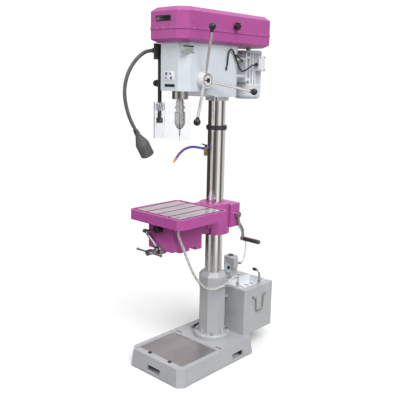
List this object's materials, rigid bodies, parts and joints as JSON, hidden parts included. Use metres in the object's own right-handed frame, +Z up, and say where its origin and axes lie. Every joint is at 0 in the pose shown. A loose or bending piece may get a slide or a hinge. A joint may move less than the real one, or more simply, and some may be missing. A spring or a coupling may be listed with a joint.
{
  "type": "drill press",
  "caption": "Floor drill press: belt head with feed spokes, quill and keyless chuck, crank-lift T-slot table with vise, lamp, guard, and coolant tank with pump.",
  "frame": {"origin": "on the floor plane at the column's axis", "axes": "+Z up along the column; the operator stands at -Y; +X is the operator's right"},
  "size_m": [0.4431, 0.8632, 1.85],
  "materials": {
    "magenta_paint": "semi-gloss magenta enamel",
    "head_grey_paint": "light blue-grey enamel",
    "base_grey_paint": "light grey enamel",
    "tank_grey_paint": "grey sheet metal paint",
    "polished_steel": "ground and polished steel",
    "machined_steel": "turned steel",
    "dark_steel": "blackened steel",
    "white_paint": "white enamel",
    "black_plastic": "black phenolic",
    "matte_black": "matte black",
    "white_plastic": "white moulded plastic",
    "clear_plastic": "clear polycarbonate",
    "clear_hose": "translucent vinyl",
    "black_rubber": "black rubber",
    "brass": "plain brass",
    "blue_plastic": "blue jointed hose",
    "orange_plastic": "orange nozzle",
    "cast_alloy": "cast alloy"
  },
  "bodies": {
    "machine": {"base_casting": "base_grey_paint", "column_foot": "base_grey_paint", "fasteners": "machined_steel", "column": "polished_steel", "rack_ring": "matte_black", "head_casting": "head_grey_paint", "head_collar": "white_paint", "spring_housing": "black_plastic", "control_box": "matte_black", "cover_tray": "magenta_paint", "belt": "black_rubber", "guard_holder": "matte_black", "lamp_base": "matte_black", "gooseneck": "matte_black", "tap_body": "brass", "coolant_arm": "blue_plastic", "coolant_nozzle": "orange_plastic", "tank_shell": "tank_grey_paint", "strainer_tray": "machined_steel", "pump_body": "base_grey_paint", "supply_hose": "clear_hose", "motor_lead": "black_rubber", "drain_hose_lower": "clear_hose"},
    "power_switch": {"power_switch": "black_plastic"},
    "lid": {"cover_lid": "magenta_paint", "lid_knob": "black_plastic"},
    "spindle_pulley": {"spindle_pulley": "cast_alloy"},
    "motor": {"motor_frame": "head_grey_paint", "fan_cowl": "head_grey_paint"},
    "motor_pulley": {"motor_pulley": "cast_alloy"},
    "tension_lever": {"tension_lever": "matte_black"},
    "quill": {"quill": "machined_steel"},
    "spindle": {"spindle": "machined_steel", "chuck_body": "machined_steel", "chuck_jaws": "dark_steel", "drill_bit": "machined_steel"},
    "chuck_sleeve": {"chuck_sleeve": "machined_steel"},
    "feed": {"feed_shaft": "machined_steel", "feed_hub": "white_paint", "feed_spokes": "polished_steel", "feed_knobs": "black_plastic"},
    "guard_rod": {"guard_rod": "matte_black", "guard_clamp": "white_plastic"},
    "guard": {"guard_shield": "clear_plastic"},
    "lamp": {"lamp_shade": "matte_black"},
    "lamp_switch": {"lamp_switch": "white_plastic"},
    "rack": {"rack": "machined_steel", "drain_hose_middle": "clear_hose"},
    "bracket": {"bracket": "magenta_paint", "drain_hose_upper": "clear_hose"},
    "crank": {"crank_arm": "machined_steel"},
    "crank_grip": {"crank_grip": "dark_steel"},
    "table": {"table": "magenta_paint"},
    "table_lever": {"table_lever": "black_plastic"},
    "vise_jaw": {"vise_jaw": "dark_steel"},
    "vise_screw": {"vise_screw": "machined_steel"},
    "clamp_bar": {"clamp_bar": "machined_steel"},
    "tap_lever": {"tap_lever": "matte_black"},
    "tank_handle": {"tank_handle": "machined_steel"},
    "pump_switch": {"pump_switch": "black_plastic"}
  },
  "joints": [
    {"name": "power_switch_turn", "type": "hinge", "parent": "machine", "child": "power_switch", "pos_m": [-0.134, -0.11, 1.625], "axis": [-1, 0, 0], "range_deg": [0, 90]},
    {"name": "lid_hinge", "type": "hinge", "parent": "machine", "child": "lid", "pos_m": [-0.134, 0, 1.753], "axis": [0, -1, 0], "range_deg": [0, 100]},
    {"name": "pulley_spin", "type": "hinge", "parent": "machine", "child": "spindle_pulley", "pos_m": [0, -0.277, 1.7], "axis": [0, 0, 1], "continuous": true},
    {"name": "motor_tension", "type": "slide", "parent": "machine", "child": "motor", "axis": [0, -1, 0], "range_m": [0, 0.012], "deforming": ["motor_lead", "belt"]},
    {"name": "motor_spin", "type": "hinge", "parent": "motor", "child": "motor_pulley", "pos_m": [0, 0.25, 1.7], "axis": [0, 0, 1], "continuous": true},
    {"name": "tension_lever_turn", "type": "hinge", "parent": "machine", "child": "tension_lever", "pos_m": [0.1, 0.022, 1.64], "axis": [1, 0, 0], "range_deg": [-30, 45]},
    {"name": "quill_slide", "type": "slide", "parent": "machine", "child": "quill", "axis": [0, 0, -1], "range_m": [0, 0.12]},
    {"name": "spindle_spin", "type": "hinge", "parent": "quill", "child": "spindle", "pos_m": [0, -0.277, 1.5], "axis": [0, 0, 1], "continuous": true},
    {"name": "sleeve_turn", "type": "hinge", "parent": "spindle", "child": "chuck_sleeve", "pos_m": [0, -0.277, 1.32], "axis": [0, 0, 1], "range_deg": [0, 300]},
    {"name": "feed_turn", "type": "hinge", "parent": "machine", "child": "feed", "pos_m": [0, -0.222, 1.516], "axis": [1, 0, 0], "range_deg": [0, 405]},
    {"name": "guard_height", "type": "slide", "parent": "machine", "child": "guard_rod", "axis": [0, 0, 1], "range_m": [-0.045, 0]},
    {"name": "guard_swing", "type": "hinge", "parent": "guard_rod", "child": "guard", "pos_m": [-0.112, -0.31, 1.38], "axis": [0, 0, 1], "range_deg": [-50, 0]},
    {"name": "lamp_tilt", "type": "hinge", "parent": "machine", "child": "lamp", "pos_m": [-0.16, -0.428, 1.265], "axis": [1, 0, 0], "range_deg": [-40, 40]},
    {"name": "lamp_button", "type": "slide", "parent": "lamp", "child": "lamp_switch", "axis": [0, -0.848, -0.53], "range_m": [0, 0.002], "stiffness_N_per_m": 200},
    {"name": "table_swing", "type": "hinge", "parent": "machine", "child": "rack", "pos_m": [0, 0, 0.8], "axis": [0, 0, 1], "range_deg": [-40, 20], "deforming": ["drain_hose_lower"]},
    {"name": "table_lift", "type": "slide", "parent": "rack", "child": "bracket", "axis": [0, 0, 1], "range_m": [-0.08, 0.14], "deforming": ["drain_hose_middle"]},
    {"name": "crank_turn", "type": "hinge", "parent": "bracket", "child": "crank", "pos_m": [0.094, 0.0753, 0.801], "axis": [1, 0, 0], "range_deg": [-1100, 1100]},
    {"name": "grip_spin", "type": "hinge", "parent": "crank", "child": "crank_grip", "pos_m": [0.15, 0.1153, 0.661], "axis": [1, 0, 0], "continuous": true},
    {"name": "table_tilt", "type": "hinge", "parent": "bracket", "child": "table", "pos_m": [0, -0.098, 0.785], "axis": [0, 1, 0], "range_deg": [-45, 45], "deforming": ["drain_hose_upper"]},
    {"name": "tilt_lock_turn", "type": "hinge", "parent": "table", "child": "table_lever", "pos_m": [0, -0.415, 0.785], "axis": [0, 1, 0], "range_deg": [-35, 20]},
    {"name": "jaw_slide", "type": "slide", "parent": "table", "child": "vise_jaw", "axis": [0, 1, 0], "range_m": [-0.06, 0.025]},
    {"name": "screw_turn", "type": "hinge", "parent": "vise_jaw", "child": "vise_screw", "pos_m": [0, -0.48, 0.678], "axis": [0, 1, 0], "range_deg": [-5500, 2400]},
    {"name": "clamp_bar_turn", "type": "hinge", "parent": "table", "child": "clamp_bar", "pos_m": [0, -0.415, 0.678], "axis": [0, 1, 0], "range_deg": [-35, 20]},
    {"name": "tap_turn", "type": "hinge", "parent": "machine", "child": "tap_lever", "pos_m": [-0.062, -0.012, 1.165], "axis": [0, 0, 1], "range_deg": [-90, 0]},
    {"name": "handle_swing", "type": "hinge", "parent": "machine", "child": "tank_handle", "pos_m": [0.161, 0.231, 0.312], "axis": [0, -1, 0], "range_deg": [0, 95]},
    {"name": "pump_switch_turn", "type": "hinge", "parent": "machine", "child": "pump_switch", "pos_m": [-0.056, 0.2, 0.432], "axis": [0, -1, 0], "range_deg": [0, 90]}
  ],
  "couplings": [
    {"joint": "motor_spin", "follows": "pulley_spin", "ratio": 2.2353},
    {"joint": "spindle_spin", "follows": "pulley_spin", "ratio": 1},
    {"joint": "feed_turn", "follows": "quill_slide", "rad_per_m": 58.824},
    {"joint": "crank_turn", "follows": "table_lift", "rad_per_m": 62.5},
    {"joint": "screw_turn", "follows": "jaw_slide", "rad_per_m": 1570.8}
  ]
}
